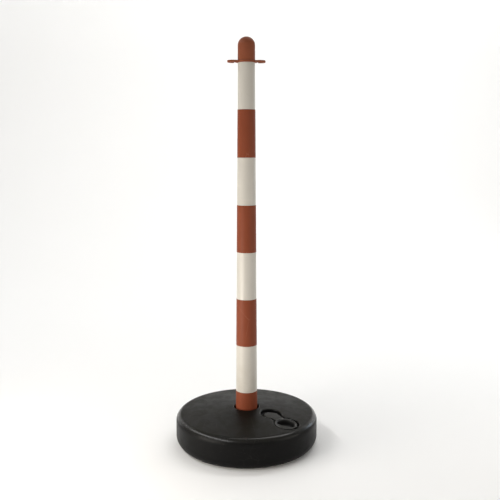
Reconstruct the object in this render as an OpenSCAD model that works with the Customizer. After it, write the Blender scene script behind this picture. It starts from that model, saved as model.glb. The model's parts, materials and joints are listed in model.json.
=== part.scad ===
// Free-standing striped delineator post: a ballasted round base, a tapered tube that stands
// in the base's socket, red film bands, a swivelling ring with two chain hooks, and a domed cap.
// A push-in filler plug with a pull tongue lies flush in a keyhole recess in the base's top.
// Millimetres, +Z up, origin on the floor under the post's axis.

/* [Overall] */
// Height from the floor to the top of the cap
overall_h = 902; // [860:1:1100]
// Diameter of the base
base_d = 316; // [316:1:360]
// Height of the base beside the post
base_h = 80; // [76:1:100]

/* [Post] */
// Outside diameter of the tube at its foot
tube_foot_d = 48.6; // [46:0.1:50]
// Outside diameter of the tube at its top
tube_top_d = 37.5; // [35:0.1:38]
// Wall thickness of the tube
tube_wall = 2.5; // [2:0.1:4]
// Height of one stripe
stripe_h = 104.5; // [90:0.5:104.5]
// Thickness of the red film
film_t = 0.3; // [0.2:0.05:0.5]

/* [Base] */
// Wall thickness of the base shell
shell_wall = 4; // [3:0.1:4.5]
// Fall of the base's top from the crown to the edge, in degrees
top_slope = 6; // [5:0.1:8]
// Rounding of the upper edge
upper_edge_r = 13; // [10:0.5:13]
// Rounding of the lower edge
lower_edge_r = 21; // [12:1:25]
// Radius of the wider mouth above the socket
mouth_r = 28.5; // [27:0.1:29]
// Depth of the wider mouth
mouth_h = 22; // [10:1:26]
// Rounding of the mouth's lip
lip_r = 2; // [1.5:0.1:2.5]
// Height of the socket's floor above the ground
socket_floor_z = 11; // [10:1:14]
// Depth of the hollow in the underside
foot_hollow_h = 3; // [2:0.5:4]
// Width of the ring that the base stands on
foot_ring_w = 30; // [20:1:40]
// Depth of the loose sand ballast
ballast_h = 38; // [20:1:38]

/* [Filler recess] */
// Distance from the post's axis to the filler plug's axis
plug_reach = 116.5; // [112:0.5:116.5]
// Bearing of the plug's axis, in degrees
plug_bearing = -43.3; // [-180:0.1:180]
// Radius of the recess round the plug
recess_wide_r = 27.5; // [27:0.1:27.5]
// Radius of the recess's end beside the post
recess_narrow_r = 23; // [20:0.5:23]
// Distance between the centres of the recess's two round ends
recess_run = 53; // [48:1:53]
// Width of the channel that joins the recess's two round ends
recess_channel_w = 30; // [28:1:32]
// Angle of the recess away from the line to the post's axis, in degrees
recess_skew = 9.5; // [5:0.5:12]
// How far the recess's line lies to the far side of the plug's axis
recess_aside = 2; // [1:0.1:2]
// Depth of the recess
recess_depth = 9; // [8:0.5:10]

/* [Filler plug] */
// Radius of the plug's head
plug_head_r = 24.6; // [24.2:0.1:24.8]
// Rounding of the head's rim
plug_rim_r = 2.2; // [1.5:0.1:2.4]
// Radius of the skirt that plugs the neck
plug_skirt_r = 21.2; // [20.8:0.1:21.4]
// Length of the skirt inside the neck
plug_engaged = 12; // [10:1:14]
// Radius of the finger pocket
pocket_r = 19; // [18:0.1:19]
// Depth of the pocket's deep half
pocket_depth = 13; // [11:0.5:14]
// Depth of the pocket's shallow half
pocket_shelf_depth = 4.5; // [4:0.5:6]
// Angle of the line between the pocket's two halves, from the line to the post's axis
pocket_turn = 27; // [-180:1:180]
// Thickness of the pull tongue
tongue_t = 3.2; // [2.5:0.1:4]
// Width of the pull tongue
tongue_w = 22.5; // [18:0.5:22.5]
// Radius of the tongue's tip
tongue_tip_r = 14; // [12:0.5:14]
// Thickness of the seal under the plug's head
seal_t = 1.5; // [1:0.1:2]

/* [Chain ring and cap] */
// Thickness of the chain ring
ring_t = 5; // [4:0.5:6]
// Radius of the ring's collar
collar_r = 19.6; // [19.6:0.1:21]
// Distance from the post's axis to the middle of a hook's eye
eye_reach = 30.2; // [30:0.1:32]
// Outside radius of a hook
hook_r = 11.7; // [11.5:0.1:13]
// Radius of a hook's eye
eye_r = 6; // [5:0.5:6]
// Width of a hook's mouth
hook_mouth_w = 5; // [4.5:0.1:5.5]
// Angle of a hook's mouth from the hook's own line, in degrees
hook_mouth_angle = 125; // [115:1:130]
// Bearing of the hooks, in degrees
hook_bearing = 4; // [-180:1:180]
// Diameter of the cap
cap_d = 38; // [38:0.1:39]
// Height of the cap's straight side
cap_side_h = 32; // [20:1:40]
// Length of the cap's spigot inside the tube
spigot_l = 32; // [25:1:40]
// Wall thickness of the cap
cap_wall = 2.5; // [2:0.1:3]

/* [Hidden] */
$fn = 96;

fit = 0.08; // radial running clearance
rest_gap = 0.05; // gap between flat faces of pieces that part
film_gap = 0.02; // adhesive between the tube and a film band
over = 1; // overlap that keeps cuts clean

band_count = 4;
cap_r = cap_d / 2;
cap_z = overall_h - cap_r - cap_side_h;
ring_z = cap_z - rest_gap - ring_t;
tube_top_z = ring_z - rest_gap;
tube_z = socket_floor_z + rest_gap;
tube_h = tube_top_z - tube_z;
spigot_r = tube_top_d / 2 - tube_wall - fit;

socket_r = tube_foot_d / 2 + film_gap + film_t + fit;
base_r = base_d / 2;
crown_r = mouth_r + lip_r;
upper_c = [base_r - upper_edge_r, base_h
    - (upper_edge_r + (base_r - upper_edge_r - crown_r) * sin(top_slope)) / cos(top_slope)];
lower_c = [base_r - lower_edge_r, lower_edge_r];
cavity_floor_z = foot_hollow_h + shell_wall;

seat_z = -recess_depth; // the recess's floor, measured from the plug's rim
head_z = seat_z + seal_t + 2 * rest_gap;
neck_r = plug_skirt_r + fit;
skirt_end_z = seat_z - plug_engaged;
neck_end_z = skirt_end_z - 2;
pocket_floor_t = 2.5;
skirt_wall = 2.2;
pocket_rim_z = -2.5; // where the head's dished rim meets the pocket's wall
tongue_top_z = -0.5;
tongue_mid = -1.75; // how far the tongue's line lies to the near side of the plug's axis
tongue_reach = 43; // from the plug's axis to the centre of the tongue's end
tip_at = [47.5, 4]; // centre of the tongue's wide tip

function tube_r(z) = (tube_foot_d + (tube_top_d - tube_foot_d) * (z - tube_z) / tube_h) / 2;
function band_low(i) = tube_top_z + 3 - (2 * (band_count - i) + 2) * stripe_h;
function top_z(r) = base_h - (r - crown_r) * tan(top_slope);

// A slice of the tube's cone between two heights, grown outwards
module tube_cone(low, high, grow) {
    translate([0, 0, low])
        cylinder(h = high - low, r1 = tube_r(low) + grow, r2 = tube_r(high) + grow);
}

// Half section of the base: flat crown, sloping top and two rounded edges
module base_section() {
    polygon([
        [0, 0],
        [lower_c.x, 0],
        lower_c,
        [base_r, lower_c.y],
        [base_r, upper_c.y],
        upper_c,
        upper_c + upper_edge_r * [sin(top_slope), cos(top_slope)],
        [crown_r, base_h],
        [0, base_h]
    ]);
    translate(upper_c)
        circle(r = upper_edge_r);
    translate(lower_c)
        circle(r = lower_edge_r);
}

// Half section of the room inside the shell, taken in by its wall and a slack
module cavity_section(slack) {
    inset = shell_wall + slack;
    wall_r = base_r - inset;
    roof_drop = inset / cos(top_slope);
    step_z = base_h - mouth_h - inset;
    polygon([
        [socket_r + inset, cavity_floor_z + slack],
        [lower_c.x, cavity_floor_z + slack],
        [wall_r, lower_c.y],
        [wall_r, upper_c.y],
        [upper_c.x, top_z(upper_c.x) - roof_drop],
        [mouth_r + inset, top_z(mouth_r + inset) - roof_drop],
        [mouth_r + inset, step_z],
        [socket_r + inset, step_z]
    ]);
}

// Half section of the post's socket, its wider mouth and the mouth's rounded lip
module socket_section() {
    translate([0, socket_floor_z])
        square([socket_r, base_h]);
    translate([0, base_h - mouth_h])
        square([mouth_r, mouth_h + over]);
    difference() {
        translate([0, base_h - lip_r])
            square([crown_r, lip_r + over]);
        translate([crown_r, base_h - lip_r])
            circle(r = lip_r);
    }
}

// The plug's own frame: its axis square to the base's top, with the rim at z = 0
module at_plug() {
    rotate([0, 0, plug_bearing])
        translate([plug_reach, 0, top_z(plug_reach)])
            rotate([0, top_slope, 0])
                children();
}

// Outline of the recess: two round ends of different size, joined by a narrower channel
module recess_outline(grow) {
    channel_w = recess_channel_w + 2 * grow;
    rotate(180 - recess_skew)
        translate([0, -recess_aside]) {
            circle(r = recess_wide_r + grow);
            translate([recess_run, 0])
                circle(r = recess_narrow_r + grow);
            translate([0, -channel_w / 2])
                square([recess_run, channel_w]);
        }
}

// The recess in the base's top, and the neck's bore below it
module recess_cut() {
    translate([0, 0, seat_z])
        linear_extrude(height = recess_depth + 3 * over)
            recess_outline(0);
    translate([0, 0, neck_end_z - over])
        cylinder(h = seat_z - neck_end_z + 2 * over, r = neck_r);
}

// The walls that close the shell round the recess and the neck
module recess_walls() {
    translate([0, 0, seat_z - shell_wall])
        linear_extrude(height = recess_depth + 2 * shell_wall)
            recess_outline(shell_wall);
    translate([0, 0, neck_end_z])
        cylinder(h = seat_z - neck_end_z, r = neck_r + shell_wall);
}

module base_cavity() {
    difference() {
        rotate_extrude()
            cavity_section(0);
        at_plug()
            recess_walls();
    }
}

module base_shell() {
    color("#26262a")
        difference() {
            rotate_extrude()
                difference() {
                    base_section();
                    socket_section();
                    translate([0, -over])
                        square([base_r - lower_edge_r - foot_ring_w, foot_hollow_h + over]);
                }
            at_plug()
                recess_cut();
            base_cavity();
        }
}

// Loose sand lying in the shell, clear of its walls
module sand_ballast() {
    color("#b59a6a")
        rotate_extrude()
            intersection() {
                cavity_section(0.4);
                square([base_r, cavity_floor_z + ballast_h]);
            }
}

// Half section of the plug: rounded rim, dished head, pocket floor and hollow skirt
module plug_section() {
    pocket_z = -pocket_depth;
    polygon([
        [pocket_r, head_z],
        [plug_head_r, head_z],
        [plug_head_r, -plug_rim_r],
        [plug_head_r - plug_rim_r, -0.2 * plug_rim_r],
        [pocket_r, pocket_rim_z]
    ]);
    translate([plug_head_r - plug_rim_r, -plug_rim_r])
        circle(r = plug_rim_r);
    translate([pocket_r, pocket_z])
        square([plug_skirt_r - pocket_r, head_z - pocket_z]);
    translate([0, pocket_z - pocket_floor_t])
        square([plug_skirt_r, pocket_floor_t]);
    translate([plug_skirt_r - skirt_wall, skirt_end_z])
        square([skirt_wall, pocket_z - pocket_floor_t - skirt_end_z]);
}

// The solid under the pocket's shallow half
module pocket_shelf() {
    shelf_low_z = -pocket_depth - pocket_floor_t / 2;
    intersection() {
        translate([0, 0, shelf_low_z])
            cylinder(h = -pocket_shelf_depth - shelf_low_z, r = (pocket_r + plug_skirt_r) / 2);
        rotate([0, 0, pocket_turn])
            translate([-plug_head_r, -plug_head_r, shelf_low_z - over])
                cube([2 * plug_head_r, plug_head_r, pocket_depth + 2 * over]);
    }
}

// Outline of the pull tongue, from the head's rim to its wide tip
module tongue_outline() {
    root = plug_head_r - plug_rim_r;
    rotate(180 - recess_skew) {
        translate([root, tongue_mid - tongue_w / 2])
            square([tongue_reach - root, tongue_w]);
        translate([tongue_reach, tongue_mid])
            circle(r = tongue_w / 2);
        translate(tip_at)
            circle(r = tongue_tip_r);
    }
}

module filler_plug() {
    color("#2b2b30")
        at_plug() {
            rotate_extrude()
                plug_section();
            pocket_shelf();
            translate([0, 0, tongue_top_z - tongue_t])
                linear_extrude(height = tongue_t)
                    tongue_outline();
        }
}

module plug_seal() {
    seal_in_r = plug_skirt_r + 0.35;
    color("#18181a")
        at_plug()
            translate([0, 0, seat_z + rest_gap])
                difference() {
                    cylinder(h = seal_t, r = plug_head_r - 0.5);
                    translate([0, 0, -over])
                        cylinder(h = seal_t + 2 * over, r = seal_in_r);
                }
}

module post_tube() {
    color("#ece8e0")
        difference() {
            tube_cone(tube_z, tube_top_z, 0);
            tube_cone(tube_z - over, tube_top_z + over, -tube_wall);
        }
}

// One red film band round the tube; the lowest one ends just above the tube's foot
module red_band(i) {
    low = max(band_low(i), tube_z + 4);
    high = band_low(i) + stripe_h;
    color("#b4482c")
        difference() {
            tube_cone(low, high, film_gap + film_t);
            tube_cone(low - over, high + over, film_gap);
        }
}

// One open hook of the chain ring, lying along +X
module hook_outline() {
    translate([eye_reach, 0])
        circle(r = hook_r);
    translate([0, -hook_r + 2.5])
        square([eye_reach, 2 * hook_r - 5]);
}

module hook_eye() {
    translate([eye_reach, 0]) {
        circle(r = eye_r);
        rotate(hook_mouth_angle)
            translate([0, -hook_mouth_w / 2])
                square([hook_r + over, hook_mouth_w]);
    }
}

module chain_ring() {
    color("#b84a2c")
        rotate([0, 0, hook_bearing])
            translate([0, 0, ring_z])
                linear_extrude(height = ring_t)
                    difference() {
                        union() {
                            circle(r = collar_r);
                            for (side = [0, 1])
                                mirror([side, 0])
                                    hook_outline();
                        }
                        circle(r = spigot_r + fit);
                        for (side = [0, 1])
                            mirror([side, 0])
                                hook_eye();
                    }
}

module top_cap() {
    hollow_r = cap_r - cap_wall;
    spigot_in_r = spigot_r - cap_wall;
    dome_z = cap_z + cap_side_h;
    color("#b84a2c")
        rotate_extrude()
            difference() {
                union() {
                    intersection() {
                        translate([0, dome_z])
                            circle(r = cap_r);
                        translate([0, dome_z])
                            square([cap_r, cap_r]);
                    }
                    translate([0, cap_z])
                        square([cap_r, cap_side_h]);
                    translate([0, tube_top_z - spigot_l])
                        square([spigot_r, spigot_l + over + ring_t]);
                }
                intersection() {
                    translate([0, dome_z])
                        circle(r = hollow_r);
                    translate([0, dome_z])
                        square([cap_r, cap_r]);
                }
                translate([0, cap_z + cap_wall])
                    square([hollow_r, cap_side_h - cap_wall]);
                translate([0, tube_top_z - spigot_l - over])
                    square([spigot_in_r, spigot_l + ring_t + cap_wall + 2 * over]);
            }
}

base_shell();
sand_ballast();
filler_plug();
plug_seal();
post_tube();
red_band(1);  // red_band_1
red_band(2);  // red_band_2
red_band(3);  // red_band_3
red_band(4);  // red_band_4
chain_ring();
top_cap();
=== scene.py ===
import json
import math

import bpy
import numpy as np
from mathutils import Matrix, Vector


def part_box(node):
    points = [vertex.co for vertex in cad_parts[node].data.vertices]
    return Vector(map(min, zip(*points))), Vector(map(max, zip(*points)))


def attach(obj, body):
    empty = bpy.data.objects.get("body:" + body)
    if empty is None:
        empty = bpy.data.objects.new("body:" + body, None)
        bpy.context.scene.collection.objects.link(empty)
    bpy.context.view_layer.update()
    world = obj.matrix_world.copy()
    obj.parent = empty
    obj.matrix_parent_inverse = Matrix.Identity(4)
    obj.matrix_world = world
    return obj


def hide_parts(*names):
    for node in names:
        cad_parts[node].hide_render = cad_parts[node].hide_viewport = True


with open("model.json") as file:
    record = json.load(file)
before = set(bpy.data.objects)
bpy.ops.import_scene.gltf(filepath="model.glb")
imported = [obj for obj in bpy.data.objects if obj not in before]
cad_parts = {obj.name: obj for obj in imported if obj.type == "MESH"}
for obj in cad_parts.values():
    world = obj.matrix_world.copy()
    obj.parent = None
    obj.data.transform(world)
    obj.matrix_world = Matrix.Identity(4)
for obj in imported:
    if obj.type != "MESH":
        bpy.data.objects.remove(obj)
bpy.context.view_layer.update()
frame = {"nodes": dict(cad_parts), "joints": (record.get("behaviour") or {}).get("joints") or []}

MM = 0.001
JOINTS = {joint["name"]: joint for joint in frame["joints"]}

# ---------------------------------------------------------------------------
# Sizes, taken from the frame where it holds them
# ---------------------------------------------------------------------------

TUBE_LOW, TUBE_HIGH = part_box("post_tube")
CAP_LOW, CAP_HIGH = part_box("top_cap")
RING_LOW, RING_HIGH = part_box("chain_ring")
SEAL_LOW, SEAL_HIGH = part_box("plug_seal")
FIT = 0.08 * MM          # radial running clearance
REST_GAP = 0.05 * MM     # gap between flat faces of pieces that part

BASE_R = 158 * MM
BASE_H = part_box("base_shell")[1].z
TOP_SLOPE = math.radians(6)
UPPER_EDGE_R = 13 * MM
LOWER_EDGE_R = 21 * MM
SOCKET_R = 24.7 * MM
SOCKET_FLOOR_Z = 11 * MM
MOUTH_R = 28.5 * MM
MOUTH_H = 22 * MM
LIP_R = 2 * MM
CROWN_R = MOUTH_R + LIP_R
CROWN_EDGE_R = 1 * MM
FOOT_RING_W = 30 * MM
FOOT_HOLLOW_R = BASE_R - LOWER_EDGE_R - FOOT_RING_W
FOOT_HOLLOW_H = 3 * MM
FOOT_HOLLOW_EDGE_R = 1.5 * MM

RECESS_WIDE_R = 27.5 * MM
RECESS_NARROW_R = 23 * MM
RECESS_RUN = 53 * MM
RECESS_CHANNEL_W = 30 * MM
RECESS_SKEW = math.radians(9.5)
RECESS_ASIDE = 2 * MM
RECESS_DEPTH = 9 * MM
RECESS_LIP_R = 2.2 * MM
NECK_R = 21.28 * MM
NECK_END_Z = -23 * MM
NECK_LIP_R = 0.5 * MM

SEAL_MID_DEPTH = 8.2 * MM
SEAL_T = 1.5 * MM
PLUG_AXIS = Vector(JOINTS["plug_pull"]["axis"]).normalized()
PLUG_POS = (SEAL_LOW + SEAL_HIGH) / 2 + PLUG_AXIS * SEAL_MID_DEPTH

TUBE_WALL = 2.5 * MM
TUBE_FOOT_R = 24.3 * MM
TUBE_TOP_R = 18.75 * MM
BAND_COUNT = 4
FILM_GAP = 0.02 * MM
FILM_T = 0.3 * MM
CAP_R = 19 * MM
CAP_WALL = 2.5 * MM
SPIGOT_R = TUBE_TOP_R - TUBE_WALL - FIT
RING_BORE_R = SPIGOT_R + FIT
COLLAR_R = 19.6 * MM
HOOK_BEARING = math.radians(4)
HOOK_R = 11.7 * MM
HOOK_ARM_HALF_W = 9 * MM
HOOK_MOUTH_W = 5 * MM
HOOK_MOUTH_ANGLE = math.radians(125)
EYE_REACH = 30.2 * MM
EYE_R = 6 * MM

ROUND_SEGMENTS = 96
FILM_SEGMENTS = 192


def plug_frame():
    """The plug's own frame: z along its axis, x away from the post, origin at its rim."""
    away = Vector((PLUG_POS.x, PLUG_POS.y, 0)).normalized()
    across = PLUG_AXIS.cross(away).normalized()
    along = across.cross(PLUG_AXIS)
    turn = Matrix((along, across, PLUG_AXIS)).transposed().to_4x4()
    return Matrix.Translation(PLUG_POS) @ turn


PLUG_FRAME = plug_frame()


# ---------------------------------------------------------------------------
# Mesh tools
# ---------------------------------------------------------------------------

def add_piece(name, points, faces, body, nodes, material, frame_matrix=None):
    """Makes a smooth-shaded mesh object that stands for CAD nodes and rides on their body."""
    mesh = bpy.data.meshes.new(name)
    mesh.from_pydata([tuple(p) for p in points], [], [tuple(int(i) for i in f) for f in faces])
    if frame_matrix is not None:
        mesh.transform(frame_matrix)
    mesh.validate()
    mesh.update()
    mesh.polygons.foreach_set("use_smooth", [True] * len(mesh.polygons))
    mesh.materials.append(material)
    piece = bpy.data.objects.new(name, mesh)
    bpy.context.scene.collection.objects.link(piece)
    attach(piece, body)
    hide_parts(*nodes)
    return piece


def arc(centre_r, centre_z, radius, start_deg, end_deg, steps):
    """Points of an arc in the half plane of a turned profile, as (r, z)."""
    angles = np.radians(np.linspace(start_deg, end_deg, steps + 1))
    return [(centre_r + radius * math.cos(a), centre_z + radius * math.sin(a)) for a in angles]


def turned(profile, segments, swell=None):
    """Turns a closed profile of (r, z) points about z. swell(angles, z) adds to the radius."""
    profile = np.array(profile)
    count = len(profile)
    angles = np.arange(segments) * 2 * math.pi / segments
    r = np.repeat(profile[None, :, 0], segments, axis=0)
    z = np.repeat(profile[None, :, 1], segments, axis=0)
    if swell is not None:
        r = r + swell(angles[:, None], z)
    points = np.stack(
        [r * np.cos(angles)[:, None], r * np.sin(angles)[:, None], z], axis=-1
    ).reshape(-1, 3)
    faces = []
    for i in range(segments):
        here, there = i * count, (i + 1) % segments * count
        for j in range(count):
            k = (j + 1) % count
            faces.append((here + j, there + j, there + k, here + k))
    return points, faces


def spaced(*spans):
    """Grid lines through spans of (start, end, step), each span's end shared with the next."""
    lines = []
    for start, end, step in spans:
        count = max(1, round((end - start) / step))
        lines.extend(np.linspace(start, end, count + 1)[:-1])
    return np.array([*lines, spans[-1][1]])


def surface_net(field, xs, ys, zs):
    """Quads on the zero surface of field(x, y, z), which is negative inside the solid."""
    x, y, z = np.meshgrid(xs, ys, zs, indexing="ij")
    value = field(x, y, z)
    grid = np.stack([x, y, z], axis=-1)
    inside = value < 0
    shape = np.array(value.shape) - 1

    def corner(a, offset):
        return a[tuple(slice(o, o + n) for o, n in zip(offset, shape))]

    # One point in each cell that the surface crosses, at the mean of its edges' crossings
    corners = [(i, j, k) for i in (0, 1) for j in (0, 1) for k in (0, 1)]
    filled = sum(corner(inside, c).astype(np.int8) for c in corners)
    active = (filled > 0) & (filled < len(corners))
    number = np.full(tuple(shape), -1, dtype=np.int64)
    number[active] = np.arange(active.sum())
    total = np.zeros((int(active.sum()), 3))
    crossings = np.zeros(int(active.sum()))
    for axis in range(3):
        for start in corners:
            if start[axis]:
                continue
            end = tuple(1 if n == axis else s for n, s in enumerate(start))
            v0, v1 = corner(value, start)[active], corner(value, end)[active]
            p0, p1 = corner(grid, start)[active], corner(grid, end)[active]
            crosses = (v0 < 0) != (v1 < 0)
            share = np.where(crosses, v0 / np.where(crosses, v0 - v1, 1), 0)
            total += np.where(crosses[:, None], p0 + (p1 - p0) * share[:, None], 0)
            crossings += crosses
    points = settle(field, total / crossings[:, None], np.diff(xs).min())

    # One quad round each grid edge that the surface crosses, facing out of the solid
    faces = []
    for axis in range(3):
        u, v = (axis + 1) % 3, (axis + 2) % 3
        span = [slice(1, -1)] * 3
        span[axis] = slice(None, -1)
        ahead = [slice(1, -1)] * 3
        ahead[axis] = slice(1, None)
        here, there = inside[tuple(span)], inside[tuple(ahead)]
        at = np.argwhere(here != there)
        leaving = here[tuple(at.T)]
        base = at + 1
        base[:, axis] -= 1
        step_u, step_v = np.zeros(3, int), np.zeros(3, int)
        step_u[u], step_v[v] = 1, 1
        ring = [base - step_u - step_v, base - step_v, base, base - step_u]
        quad = np.stack([number[tuple(c.T)] for c in ring], axis=1)
        quad[~leaving] = quad[~leaving][:, ::-1]
        faces.append(quad)
    return points, np.concatenate(faces)


def settle(field, points, reach, rounds=4):
    """Moves points onto the zero surface of field, along its slope, by at most reach a round."""
    h, least_slope = 0.02 * MM, 0.05
    for _ in range(rounds):
        value = field(*points.T)
        slope = np.stack([
            field(*(points + h * unit).T) - field(*(points - h * unit).T) for unit in np.eye(3)
        ], axis=1) / (2 * h)
        length = np.maximum((slope ** 2).sum(axis=1), least_slope)
        step = np.clip(value / length, -reach, reach)
        points = points - slope * step[:, None]
    return points


# Fields: a negative value is inside. Rounded joins keep their radius where faces meet squarely.

def meet(a, b, radius):
    """What is inside both, with a rounded outer edge."""
    return np.minimum(-radius, np.maximum(a, b)) + np.hypot(
        np.maximum(radius + a, 0), np.maximum(radius + b, 0)
    )


def join(a, b, radius):
    """What is inside either, with a rounded inner corner."""
    return np.maximum(radius, np.minimum(a, b)) - np.hypot(
        np.maximum(radius - a, 0), np.maximum(radius - b, 0)
    )


def cut(a, b, radius):
    """What is inside a and outside b, with a rounded lip."""
    return meet(a, -b, radius)


def turned_coordinates(u, v, angle):
    """u and v along axes that are turned by angle."""
    return u * math.cos(angle) + v * math.sin(angle), v * math.cos(angle) - u * math.sin(angle)


# ---------------------------------------------------------------------------
# Materials. Colours are linear, scales are per metre and bump distances in metres.
# ---------------------------------------------------------------------------

def rgb(red, green, blue):
    """A colour with full opacity."""
    return red, green, blue, 1.0


class Shader:
    """A node material with short calls for the nodes used here."""

    def __init__(self, name):
        self.material = bpy.data.materials.new(name)
        self.material.use_nodes = True
        self.nodes = self.material.node_tree.nodes
        self.links = self.material.node_tree.links
        self.bsdf = self.nodes["Principled BSDF"]
        self.place = self.add("ShaderNodeTexCoord").outputs["Object"]
        self.geometry = self.add("ShaderNodeNewGeometry")

    def add(self, kind, **settings):
        """A new node with the given settings."""
        node = self.nodes.new(kind)
        for key, value in settings.items():
            setattr(node, key, value)
        return node

    def feed(self, socket, value):
        """Links a socket to another node's output, or sets its number or colour."""
        if isinstance(value, bpy.types.NodeSocket):
            self.links.new(value, socket)
        else:
            socket.default_value = value

    def stretched(self, scale):
        """Object coordinates scaled along x, y and z, or as they are where scale is None."""
        if scale is None:
            return self.place
        mapping = self.add("ShaderNodeMapping")
        self.feed(mapping.inputs["Vector"], self.place)
        mapping.inputs["Scale"].default_value = scale
        return mapping.outputs["Vector"]

    def noise(self, scale, detail=3.0, rough=0.5, stretch=None, distortion=0.0):
        """Cloudy noise from 0 to 1."""
        node = self.add("ShaderNodeTexNoise")
        self.feed(node.inputs["Vector"], self.stretched(stretch))
        node.inputs["Scale"].default_value = scale
        node.inputs["Detail"].default_value = detail
        node.inputs["Roughness"].default_value = rough
        node.inputs["Distortion"].default_value = distortion
        return node.outputs["Fac"]

    def cells(self, scale, stretch):
        """The distance from the borders of irregular cells."""
        node = self.add("ShaderNodeTexVoronoi", feature="DISTANCE_TO_EDGE")
        self.feed(node.inputs["Vector"], self.stretched(stretch))
        node.inputs["Scale"].default_value = scale
        return node.outputs["Distance"]

    def ramp(self, value, low, high, out_low=0.0, out_high=1.0):
        """A smooth step from out_low at low to out_high at high."""
        node = self.add("ShaderNodeMapRange", interpolation_type="SMOOTHSTEP")
        self.feed(node.inputs["Value"], value)
        node.inputs["From Min"].default_value = low
        node.inputs["From Max"].default_value = high
        node.inputs["To Min"].default_value = out_low
        node.inputs["To Max"].default_value = out_high
        return node.outputs["Result"]

    def math(self, operation, a, b):
        """A sum, difference or product of two values."""
        node = self.add("ShaderNodeMath", operation=operation)
        self.feed(node.inputs[0], a)
        self.feed(node.inputs[1], b)
        return node.outputs[0]

    def plus(self, a, b):
        return self.math("ADD", a, b)

    def times(self, a, b):
        return self.math("MULTIPLY", a, b)

    def mix(self, share, a, b):
        """Colour a where share is 0 and colour b where it is 1."""
        node = self.add("ShaderNodeMix", data_type="RGBA")
        self.feed(node.inputs[0], share)
        self.feed(node.inputs[6], a)
        self.feed(node.inputs[7], b)
        return node.outputs[2]

    def stain(self, colour, mask, strength, tint):
        """Lays a tint over colour where mask says so, at most by strength."""
        return self.mix(self.times(mask, strength), colour, tint)

    def scratches(self, scale, stretch, width, patch_scale, patch_low, patch_high):
        """Thin lines along the borders of cells, in patches."""
        lines = self.ramp(self.cells(scale, stretch), 0.0, width, 1.0, 0.0)
        return self.times(lines, self.ramp(self.noise(patch_scale), patch_low, patch_high))

    def height(self):
        """How high above the floor the surface is, in metres."""
        node = self.add("ShaderNodeSeparateXYZ")
        self.feed(node.inputs[0], self.place)
        return node.outputs["Z"]

    def facing_up(self):
        """1 on a level top, 0 on an upright side."""
        node = self.add("ShaderNodeSeparateXYZ")
        self.feed(node.inputs[0], self.geometry.outputs["Normal"])
        return node.outputs["Z"]

    def rubbed_edge(self):
        """Where the surface leans between side and top, which is on its rounded edges."""
        above_side = self.ramp(self.facing_up(), 0.38, 0.58)
        below_top = self.ramp(self.facing_up(), 0.86, 0.985, 1.0, 0.0)
        return self.times(above_side, below_top)

    def sharpness(self, low, high):
        """Where the mesh has an outer edge."""
        return self.ramp(self.geometry.outputs["Pointiness"], low, high)

    def polish(self, mask, weight):
        """A smooth skin where mask says so."""
        self.feed(self.bsdf.inputs["Coat Weight"], self.times(mask, weight))
        self.bsdf.inputs["Coat Roughness"].default_value = 0.26

    def bump(self, *heights):
        """Chains bumps, each given as (height, distance, strength)."""
        normal = None
        for height, distance, strength in heights:
            node = self.add("ShaderNodeBump")
            self.feed(node.inputs["Height"], height)
            node.inputs["Distance"].default_value = distance
            node.inputs["Strength"].default_value = strength
            if normal is not None:
                self.feed(node.inputs["Normal"], normal)
            normal = node.outputs["Normal"]
        self.feed(self.bsdf.inputs["Normal"], normal)

    def finish(self, colour, roughness, specular):
        """Sets the main inputs and hands back the material."""
        self.feed(self.bsdf.inputs["Base Color"], colour)
        self.feed(self.bsdf.inputs["Roughness"], roughness)
        self.bsdf.inputs["Specular IOR Level"].default_value = specular
        return self.material


def black_polyethylene():
    """Rotation-moulded base: fine leather grain, thin dust on top, a smoother rubbed shoulder, and
    a pale tint on its rounded edges that is partly scuffing and partly a painted highlight.
    """
    s = Shader("black polyethylene")
    grain = s.noise(scale=900, detail=2.0, rough=0.6)
    cloud = s.noise(scale=14, detail=4.0, rough=0.6)
    patch = s.noise(scale=45, detail=5.0, rough=0.65, distortion=0.6)
    speck = s.ramp(s.noise(scale=420, detail=2.0), low=0.66, high=0.78)
    upward = s.ramp(s.facing_up(), low=0.25, high=0.98)
    dust = s.times(upward, s.ramp(s.plus(cloud, patch), low=0.75, high=1.25, out_low=0.35))
    # Pale tint on convex edges: partly scuffing, partly a painted highlight along the rounded top
    # edge.
    scuff_and_painted_highlight = s.times(s.sharpness(low=0.505, high=0.56), s.ramp(patch, low=0.42, high=0.62))
    scratch = s.scratches(scale=38, stretch=(1.0, 0.16, 1.0), width=0.012,
                          patch_scale=22, patch_low=0.52, patch_high=0.66)
    rubbed = s.rubbed_edge()

    colour = s.mix(cloud, rgb(0.0045, 0.0045, 0.005), rgb(0.0075, 0.0073, 0.007))
    colour = s.mix(dust, colour, rgb(0.0070, 0.0060, 0.0034))
    colour = s.stain(colour, speck, strength=0.2, tint=rgb(0.10, 0.095, 0.08))
    # Lightens the rounded edges: partly wear, partly painted highlight.
    colour = s.stain(colour, scuff_and_painted_highlight, strength=0.35, tint=rgb(0.09, 0.085, 0.075))
    colour = s.stain(colour, scratch, strength=0.2, tint=rgb(0.08, 0.075, 0.07))

    dull = s.plus(s.ramp(patch, 0.3, 0.7, out_low=0.34, out_high=0.42), s.times(dust, 0.06))
    roughness = s.times(dull, s.math("SUBTRACT", 1.0, s.times(rubbed, 0.3)))
    s.polish(rubbed, weight=0.65)
    s.bump((grain, 0.06 * MM, 0.1), (patch, 0.3 * MM, 0.05))
    return s.finish(colour, roughness, specular=0.065)


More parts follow.
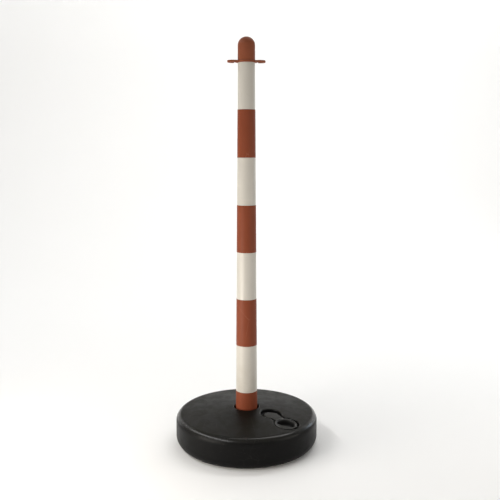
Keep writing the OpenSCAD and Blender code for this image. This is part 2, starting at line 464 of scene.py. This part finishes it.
def plug_plastic():
    """Injection-moulded plug: smoother than the base, worn on its rim."""
    s = Shader("plug plastic")
    grain = s.noise(scale=1400, detail=2.0)
    cloud = s.noise(scale=60, detail=4.0, rough=0.6)
    worn = s.times(s.sharpness(low=0.51, high=0.60), s.ramp(cloud, low=0.35, high=0.6))
    upward = s.ramp(s.facing_up(), low=0.6, high=1.0)
    dust = s.times(upward, s.ramp(cloud, 0.3, 0.7, out_low=0.3, out_high=0.9))

    colour = s.mix(cloud, rgb(0.013, 0.013, 0.0135), rgb(0.019, 0.0187, 0.018))
    colour = s.mix(dust, colour, rgb(0.013, 0.012, 0.0082))
    colour = s.stain(colour, worn, strength=0.5, tint=rgb(0.09, 0.085, 0.07))

    roughness = s.ramp(cloud, 0.3, 0.7, out_low=0.34, out_high=0.44)
    s.polish(s.rubbed_edge(), weight=0.6)
    s.bump((grain, 0.05 * MM, 0.2), (cloud, 0.2 * MM, 0.15))
    return s.finish(colour, roughness, specular=0.09)


def white_plastic():
    """Tube: warm white, with faint vertical drag lines, grey scuffs and a grimy foot."""
    s = Shader("white plastic")
    drag = s.noise(scale=60, detail=4.0, rough=0.6, stretch=(6.0, 6.0, 0.25))
    cloud = s.noise(scale=9)
    wave = s.noise(scale=30, detail=2.0)
    scratch = s.scratches(scale=26, stretch=(1.0, 1.0, 0.3), width=0.010,
                          patch_scale=17, patch_low=0.55, patch_high=0.68)
    smudge = s.ramp(s.noise(scale=34, detail=5.0, rough=0.7, distortion=0.8), low=0.56, high=0.76)
    low_down = s.ramp(s.height(), 0.08, 0.30, out_low=1.0, out_high=0.0)
    grime = s.times(low_down, s.ramp(s.noise(scale=40, detail=5.0, rough=0.7), low=0.4, high=0.7))

    colour = s.mix(cloud, rgb(0.505, 0.475, 0.424), rgb(0.552, 0.527, 0.48))
    colour = s.mix(s.ramp(drag, 0.35, 0.75, out_high=0.18), colour, rgb(0.488, 0.45, 0.39))
    colour = s.stain(colour, smudge, strength=0.22, tint=rgb(0.37, 0.33, 0.275))
    colour = s.stain(colour, grime, strength=0.2, tint=rgb(0.36, 0.31, 0.235))
    colour = s.stain(colour, scratch, strength=0.35, tint=rgb(0.30, 0.28, 0.26))

    roughness = s.ramp(s.plus(drag, smudge), 0.3, 1.4, out_low=0.30, out_high=0.52)
    s.bump((drag, 0.1 * MM, 0.35), (wave, 0.4 * MM, 0.2))
    return s.finish(colour, roughness, specular=0.3)


def red_finish(name, low, high, grain_scale, gloss):
    """Brick-red plastic: mottled pigment, rubbed pale at its edges, fine scratches."""
    s = Shader(name)
    cloud = s.noise(scale=16, detail=4.0, rough=0.6)
    fine = s.noise(scale=grain_scale, rough=0.6, stretch=(3.0, 3.0, 0.5))
    scratch = s.scratches(scale=30, stretch=(1.0, 1.0, 0.35), width=0.011,
                          patch_scale=19, patch_low=0.55, patch_high=0.68)
    rubbed = s.times(s.sharpness(low=0.52, high=0.62), s.ramp(cloud, low=0.4, high=0.6))

    colour = s.mix(cloud, low, high)
    colour = s.mix(s.ramp(fine, 0.45, 0.8, out_high=0.25), colour, rgb(0.21, 0.056, 0.03))
    colour = s.stain(colour, scratch, strength=0.35, tint=rgb(0.45, 0.22, 0.15))
    colour = s.stain(colour, rubbed, strength=0.4, tint=rgb(0.50, 0.20, 0.12))

    roughness = s.ramp(s.plus(fine, cloud), 0.6, 1.4, out_low=gloss, out_high=gloss + 0.16)
    s.bump((fine, 0.06 * MM, 0.3), (cloud, 0.4 * MM, 0.2))
    return s.finish(colour, roughness, specular=0.09)


def red_film():
    """The bands' film."""
    low, high = rgb(0.188, 0.047, 0.021), rgb(0.224, 0.059, 0.029)
    return red_finish("red film", low, high, grain_scale=500, gloss=0.34)


def red_plastic():
    """The moulded cap and hook ring: a little paler and duller than the film."""
    low, high = rgb(0.208, 0.062, 0.030), rgb(0.25, 0.078, 0.040)
    return red_finish("red plastic", low, high, grain_scale=900, gloss=0.40)


def seal_rubber():
    """Black rubber with a dull bloom."""
    s = Shader("seal rubber")
    grain = s.noise(scale=1500, detail=2.0)
    bloom = s.noise(scale=120, detail=4.0, rough=0.6)
    colour = s.mix(bloom, rgb(0.010, 0.010, 0.010), rgb(0.030, 0.029, 0.028))
    s.bump((grain, 0.05 * MM, 0.4))
    return s.finish(colour, s.ramp(bloom, 0.3, 0.7, out_low=0.6, out_high=0.8), specular=0.3)


def sand():
    """Loose builder's sand: grains of several tones, darker where it is damp."""
    s = Shader("sand")
    grain = s.noise(scale=700, detail=4.0, rough=0.8)
    damp = s.noise(scale=20, rough=0.6)
    colour = s.mix(s.ramp(grain, 0.3, 0.7), rgb(0.24, 0.17, 0.10), rgb(0.62, 0.50, 0.33))
    colour = s.mix(s.ramp(damp, 0.4, 0.7, out_high=0.4), colour, rgb(0.20, 0.15, 0.09))
    s.bump((grain, 0.6 * MM, 0.8))
    return s.finish(colour, s.ramp(damp, 0.3, 0.7, out_low=0.95, out_high=0.75), specular=0.2)


def studio_paper():
    """The floor and backdrop."""
    s = Shader("studio paper")
    colour = s.mix(s.noise(scale=3), rgb(0.955, 0.955, 0.945), rgb(0.975, 0.975, 0.97))
    return s.finish(colour, roughness=0.8, specular=0.2)


# ---------------------------------------------------------------------------
# Base, sand, plug and seal
# ---------------------------------------------------------------------------

def to_plug(x, y, z):
    """Coordinates in the plug's own frame."""
    back = PLUG_FRAME.inverted()
    return tuple(back[i][0] * x + back[i][1] * y + back[i][2] * z + back[i][3] for i in range(3))


def recess_field(u, v, w):
    """The keyhole recess: a round seat for the plug and a round end beside the post."""
    draft, blend, floor_r = math.radians(4), 5 * MM, 2 * MM
    along, across = turned_coordinates(u, v, math.pi - RECESS_SKEW)
    across = across + RECESS_ASIDE
    seat = np.hypot(along, across) - RECESS_WIDE_R
    end = np.hypot(along - RECESS_RUN, across) - RECESS_NARROW_R
    half = RECESS_RUN / 2
    channel = np.maximum(np.abs(across) - RECESS_CHANNEL_W / 2, np.abs(along - half) - half)
    outline = join(join(seat, channel, blend), end, blend)
    outline = (outline - (w + RECESS_DEPTH) * math.tan(draft)) * math.cos(draft)
    return meet(outline, -(w + RECESS_DEPTH), floor_r)


def base_field(x, y, z):
    """A drum with a coned top, less its foot hollow, socket, recess and filler neck."""
    r = np.hypot(x, y)
    slope = (z - BASE_H + (r - CROWN_R) * math.tan(TOP_SLOPE)) * math.cos(TOP_SLOPE)
    roof = meet(slope, z - BASE_H, CROWN_EDGE_R)
    solid = meet(meet(roof, r - BASE_R, UPPER_EDGE_R), -z, LOWER_EDGE_R)
    foot_hollow = np.maximum(r - FOOT_HOLLOW_R, z - FOOT_HOLLOW_H)
    solid = cut(solid, foot_hollow, FOOT_HOLLOW_EDGE_R)
    socket = np.maximum(r - SOCKET_R, SOCKET_FLOOR_Z - z)
    mouth = np.maximum(r - MOUTH_R, BASE_H - MOUTH_H - z)
    solid = cut(solid, np.minimum(socket, mouth), LIP_R)
    u, v, w = to_plug(x, y, z)
    solid = cut(solid, recess_field(u, v, w), RECESS_LIP_R)
    neck = np.maximum(np.hypot(u, v) - NECK_R, NECK_END_Z - w)
    return cut(solid, neck, NECK_LIP_R)


def make_base():
    """The base, with a finer grid round the mouth, recess and plug."""
    coarse, fine = 2.5 * MM, 1.0 * MM
    mouth_margin, plug_margin, fine_from_z = 2 * MM, 34 * MM, 57 * MM
    edge = BASE_R + 1.5 * coarse
    near_post = CROWN_R + mouth_margin
    far_side = PLUG_POS.x + plug_margin
    front = PLUG_POS.y - plug_margin
    xs = spaced((-edge, -near_post, coarse), (-near_post, far_side, fine), (far_side, edge, coarse))
    ys = spaced((-edge, front, coarse), (front, near_post, fine), (near_post, edge, coarse))
    zs = spaced((-coarse, fine_from_z, coarse), (fine_from_z, BASE_H + 2 * fine, fine))
    points, faces = surface_net(base_field, xs, ys, zs)
    add_piece("base_body", points, faces, "base", ["base_shell"],
              black_polyethylene())


def dress_sand():
    """The sand keeps its CAD shape and takes a sandy look."""
    materials = frame["nodes"]["sand_ballast"].data.materials
    materials.clear()
    materials.append(sand())


def tongue_field(x, y, z):
    """The flat pull tongue, from the head's rim to its wide tip beside the post."""
    root, reach, half_w, aside = 22 * MM, 43 * MM, 11.25 * MM, -1.75 * MM
    top, thickness, edge_r = -0.5 * MM, 3.2 * MM, 0.9 * MM
    tip_reach, tip_aside, tip_r, tip_blend = 47.5 * MM, 4 * MM, 14 * MM, 4 * MM
    along, across = turned_coordinates(x, y, math.pi - RECESS_SKEW)
    off_line = across - aside
    strip = np.maximum(np.abs(off_line) - half_w, np.maximum(root - along, along - reach))
    end = np.hypot(along - reach, off_line) - half_w
    tip = np.hypot(along - tip_reach, across - tip_aside) - tip_r
    outline = join(np.minimum(strip, end), tip, tip_blend)
    return meet(outline, np.abs(z - top + thickness / 2) - thickness / 2, edge_r)


def pocket_field(x, y, z):
    """The finger pocket: a deep half away from the near side, and a shallow half."""
    pocket_r, deep, shallow, turn = 19 * MM, 13 * MM, 4.5 * MM, math.radians(27)
    deep_r, shallow_r, step_r = 2 * MM, 1.2 * MM, 0.9 * MM
    draft = math.tan(math.radians(2))
    wall = np.hypot(x, y) - pocket_r - (z + shallow) * draft
    near = x * math.sin(turn) - y * math.cos(turn)
    deep_half = meet(meet(wall, near, deep_r), -deep - z, deep_r)
    return join(deep_half, meet(wall, -shallow - z, shallow_r), step_r)


def skirt_field(r, z, top_z):
    """The ribbed skirt that grips the filler neck, tapered at its end."""
    skirt_r, end_z, end_r, overlap = 20.7 * MM, -21 * MM, 0.8 * MM, 2 * MM
    rib_h, rib_pitch, rib_steepness, rib_level = 0.45 * MM, 3.4 * MM, 3, 1.6
    taper_h, taper_in = 3 * MM, 0.6 * MM
    wave = np.cos((z - top_z) * 2 * math.pi / rib_pitch)
    rib = rib_h * np.clip(wave * rib_steepness - rib_level, 0, 1)
    taper = np.clip((end_z + taper_h - z) / taper_h, 0, 1) * taper_in
    skirt = meet(r - skirt_r - rib + taper, end_z - z, end_r)
    return np.maximum(skirt, z - top_z - overlap)


def plug_field(x, y, z):
    """Stopper in its own frame: dished head, pocket, ribbed skirt and pull tongue."""
    head_r, head_z, rim_r, under_r = 24.6 * MM, -7.4 * MM, 1.6 * MM, 0.5 * MM
    dish_r, dish_z, dish_slope, dish_edge_r = 19 * MM, -2.5 * MM, math.radians(36), 1.2 * MM
    hollow_r, hollow_z, hollow_edge_r = 18.9 * MM, -15.5 * MM, 0.6 * MM
    skirt_blend, tongue_blend, pocket_edge_r = 0.5 * MM, 1.2 * MM, 0.5 * MM
    r = np.hypot(x, y)
    dish = (z - dish_z) * math.cos(dish_slope) - (r - dish_r) * math.sin(dish_slope)
    head = meet(meet(meet(r - head_r, z, rim_r), dish, dish_edge_r), head_z - z, under_r)
    solid = join(head, skirt_field(r, z, head_z), skirt_blend)
    solid = join(solid, tongue_field(x, y, z), tongue_blend)
    solid = cut(solid, pocket_field(x, y, z), pocket_edge_r)
    return cut(solid, np.maximum(r - hollow_r, z - hollow_z), hollow_edge_r)


def make_plug():
    """The plug, on a grid that reaches past its tongue's tip."""
    step, reach, tip_reach, low, high = 0.65 * MM, 26 * MM, 64 * MM, -22 * MM, 1.2 * MM
    xs = spaced((-tip_reach, reach, step))
    ys = spaced((-reach, reach, step))
    zs = spaced((low, high, step))
    points, faces = surface_net(plug_field, xs, ys, zs)
    add_piece("filler_plug_body", points, faces, "plug", ["filler_plug"],
              plug_plastic(), PLUG_FRAME)


def make_seal():
    """The flat ring under the plug's head."""
    outer, inner, rounding, steps = 24.1 * MM, 21.55 * MM, 0.45 * MM, 4
    low, high = -SEAL_MID_DEPTH - SEAL_T / 2, -SEAL_MID_DEPTH + SEAL_T / 2
    profile = [
        *arc(outer - rounding, low + rounding, rounding, -90, 0, steps),
        *arc(outer - rounding, high - rounding, rounding, 0, 90, steps),
        *arc(inner + rounding, high - rounding, rounding, 90, 180, steps),
        *arc(inner + rounding, low + rounding, rounding, 180, 270, steps),
    ]
    points, faces = turned(profile, ROUND_SEGMENTS)
    add_piece("plug_seal_ring", points, faces, "plug", ["plug_seal"],
              seal_rubber(), PLUG_FRAME)


# ---------------------------------------------------------------------------
# Post: tube and film bands
# ---------------------------------------------------------------------------

def tube_r(z):
    """Outside radius of the tapered tube at a height."""
    share = (z - TUBE_LOW.z) / (TUBE_HIGH.z - TUBE_LOW.z)
    return TUBE_FOOT_R + (TUBE_TOP_R - TUBE_FOOT_R) * share


def make_tube():
    """The white tube, open at both ends."""
    low, high, rounding, rings, steps = TUBE_LOW.z, TUBE_HIGH.z, 0.6 * MM, 60, 4
    profile = [
        *arc(tube_r(low) - rounding, low + rounding, rounding, -90, 0, steps),
        *[(tube_r(z), z) for z in np.linspace(low, high, rings)[1:-1]],
        *arc(tube_r(high) - rounding, high - rounding, rounding, 0, 90, steps),
        *[(tube_r(z) - TUBE_WALL, z) for z in np.linspace(high, low, rings // 4)],
    ]
    points, faces = turned(profile, ROUND_SEGMENTS)
    add_piece("tube", points, faces, "post", ["post_tube"], white_plastic())


def film_overlap(angles, z):
    """The strip at the back where a film band's end lies over its start."""
    middle, half_width, rise, steepness = math.radians(105), math.radians(11), 0.16 * MM, 6
    away = np.abs(angles - middle) / half_width
    return rise * np.clip(steepness * (1 - away), 0, 1) + 0 * z


def make_band(index, material):
    """A film sleeve round the tube, whose inner face stays round under the overlap."""
    node = f"red_band_{index}"
    low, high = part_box(node)[0].z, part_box(node)[1].z
    outer, rounding, rings, steps = FILM_GAP + FILM_T, 0.12 * MM, 24, 3
    profile = [
        (tube_r(low) + FILM_GAP, low),
        *arc(tube_r(low) + outer - rounding, low + rounding, rounding, -90, 0, steps),
        *[(tube_r(z) + outer, z) for z in np.linspace(low, high, rings)[1:-1]],
        *arc(tube_r(high) + outer - rounding, high - rounding, rounding, 0, 90, steps),
        (tube_r(high) + FILM_GAP, high),
    ]

    def swell(angles, z):
        is_outer = np.arange(z.shape[1]) % (len(profile) - 1) != 0
        return film_overlap(angles, z) * is_outer

    points, faces = turned(profile, FILM_SEGMENTS, swell)
    add_piece(f"film_{index}", points, faces, "post", [node], material)


# ---------------------------------------------------------------------------
# Chain ring and cap
# ---------------------------------------------------------------------------

def hook_field(x, y):
    """The outline of one side's open hook, along +x."""
    arm_blend, eye_edge_r, mouth_edge_r = 3 * MM, 0.5 * MM, 1.2 * MM
    eye_x = x - EYE_REACH
    from_eye = np.hypot(eye_x, y)
    arm = np.maximum(np.abs(y) - HOOK_ARM_HALF_W, np.maximum(-x, eye_x))
    outline = join(from_eye - HOOK_R, arm, arm_blend)
    outline = cut(outline, from_eye - EYE_R, eye_edge_r)
    along, across = turned_coordinates(eye_x, y, HOOK_MOUTH_ANGLE)
    mouth = np.maximum(np.abs(across) - HOOK_MOUTH_W / 2, -along)
    return cut(outline, mouth, mouth_edge_r)


def ring_field(x, y, z):
    """The flat ring: a collar with a hook on each side, bored for the cap's spigot."""
    hook_blend, edge_r, bore_edge_r = 4 * MM, 1.5 * MM, 0.4 * MM
    middle, half = (RING_LOW.z + RING_HIGH.z) / 2, (RING_HIGH.z - RING_LOW.z) / 2
    u, v = turned_coordinates(x, y, HOOK_BEARING)
    from_axis = np.hypot(u, v)
    outline = join(from_axis - COLLAR_R, hook_field(np.abs(u), v), hook_blend)
    solid = meet(outline, np.abs(z - middle) - half, edge_r)
    return cut(solid, from_axis - RING_BORE_R, bore_edge_r)


def make_ring(material):
    """The chain ring, on a grid a few steps larger than its box."""
    step = 0.55 * MM
    xs = spaced((RING_LOW.x - 3 * step, RING_HIGH.x + 3 * step, step))
    ys = spaced((RING_LOW.y - 3 * step, RING_HIGH.y + 3 * step, step))
    zs = spaced((RING_LOW.z - 2 * step, RING_HIGH.z + 2 * step, step))
    points, faces = surface_net(ring_field, xs, ys, zs)
    add_piece("hook_ring_body", points, faces, "hook_ring", ["chain_ring"], material)


def make_cap(material):
    """The hollow dome and its spigot, with the moulding gate's small dimple on top."""
    foot_z, top_z = CAP_LOW.z, CAP_HIGH.z
    shoulder_z = RING_HIGH.z + REST_GAP
    dome_z = top_z - CAP_R
    lip, hollow_r, bore_r = 0.8 * MM, CAP_R - CAP_WALL, SPIGOT_R - CAP_WALL
    gate_r, gate_floor_r, gate_h, axis_r = 1.6 * MM, 1.28 * MM, 0.35 * MM, 0.01 * MM
    side_from_z = shoulder_z + 3 * MM
    profile = [
        (bore_r, foot_z),
        *arc(SPIGOT_R - lip, foot_z + lip, lip, -90, 0, 4),
        (SPIGOT_R, shoulder_z),
        *arc(CAP_R - lip, shoulder_z + lip, lip, -90, 0, 5),
        *[(CAP_R, z) for z in np.linspace(side_from_z, dome_z, 8)[:-1]],
        *arc(0, dome_z, CAP_R, 0, 84, 28),
        (gate_r, top_z - gate_h / 3),
        (gate_floor_r, top_z - gate_h),
        (axis_r, top_z - gate_h),
        (axis_r, top_z - CAP_WALL),
        *arc(0, dome_z, hollow_r, 88, 0, 16),
        (hollow_r, shoulder_z + CAP_WALL),
        (bore_r, shoulder_z + CAP_WALL),
    ]
    points, faces = turned(profile, ROUND_SEGMENTS)
    add_piece("cap_dome", points, faces, "cap", ["top_cap"], material)


# ---------------------------------------------------------------------------
# Studio
# ---------------------------------------------------------------------------

def make_stage():
    """A pale floor that sweeps up into a backdrop."""
    near, far, bend, wall, half, steps = -3.0, 2.6, 1.2, 3.2, 4.0, 16
    outline = [(near, 0.0), (far - bend, 0.0)]
    outline += [
        (far - bend + bend * math.sin(a), bend - bend * math.cos(a))
        for a in np.linspace(0, math.pi / 2, steps + 1)[1:]
    ]
    outline.append((far, wall))
    points = [(x, y, z) for y, z in outline for x in (-half, half)]
    faces = [(2 * i, 2 * i + 1, 2 * i + 3, 2 * i + 2) for i in range(len(outline) - 1)]
    mesh = bpy.data.meshes.new("studio floor")
    mesh.from_pydata(points, [], faces)
    mesh.polygons.foreach_set("use_smooth", [True] * len(faces))
    mesh.materials.append(studio_paper())
    floor = bpy.data.objects.new("studio_floor", mesh)
    bpy.context.scene.collection.objects.link(floor)


def add_light(name, place, aim, size, watts, colour):
    """A rectangular lamp at place that faces aim."""
    light = bpy.data.lights.new(name, "AREA")
    light.shape = "RECTANGLE"
    light.size, light.size_y = size
    light.energy = watts
    light.color = colour
    lamp = bpy.data.objects.new(name, light)
    bpy.context.scene.collection.objects.link(lamp)
    lamp.location = place
    lamp.rotation_euler = (Vector(aim) - Vector(place)).to_track_quat("-Z", "Y").to_euler()


def make_lights():
    """Soft lamps round the post, a long strip that the base's shoulder mirrors, and dim air."""
    warm, cool, white = (1.0, 0.94, 0.85), (0.72, 0.86, 1.0), (1.0, 1.0, 1.0)
    base_middle = (0, 0, 0.1)
    add_light("key", (-0.8, -0.55, 0.14), base_middle, size=(0.6, 0.4), watts=9, colour=warm)
    add_light("strip", (-2.6, -0.45, 3.3), (0, 0.43, 0.1), size=(5.3, 0.45), watts=68, colour=white)
    add_light("fill", (1.7, -0.7, 0.45), (0, 0, 0.3), size=(1.2, 0.6), watts=8, colour=warm)
    add_light("right", (1.85, 1.25, 0.8), base_middle, size=(0.5, 0.7), watts=3.2, colour=cool)
    add_light("backdrop", (0.8, 0.9, 2.9), (0.8, 2.6, 0.6), size=(2.4, 1.0), watts=44, colour=white)
    world = bpy.data.worlds.new("studio air")
    world.use_nodes = True
    background = world.node_tree.nodes["Background"]
    background.inputs["Color"].default_value = rgb(1.0, 0.98, 0.95)
    background.inputs["Strength"].default_value = 0.25
    bpy.context.scene.world = world


def make_camera():
    """Level with the upper third of the post, and tipped a little down."""
    height, distance, aside, tip = 0.658, 1.530, 0.0078, math.radians(4.5)
    focal_length, film_width, rise = 50, 36, -0.092
    camera = bpy.data.cameras.new("camera")
    camera.lens = focal_length
    camera.sensor_width = film_width
    camera.shift_y = rise
    holder = bpy.data.objects.new("camera", camera)
    bpy.context.scene.collection.objects.link(holder)
    holder.location = (aside, -distance, height)
    holder.rotation_euler = (math.pi / 2 - tip, 0, 0)
    bpy.context.scene.camera = holder


make_base()
dress_sand()
make_plug()
make_seal()
make_tube()
film = red_film()
for band in range(1, BAND_COUNT + 1):
    make_band(band, film)
moulded = red_plastic()
make_ring(moulded)
make_cap(moulded)
make_stage()
make_lights()
make_camera()
bpy.context.scene.view_settings.view_transform = "Standard"
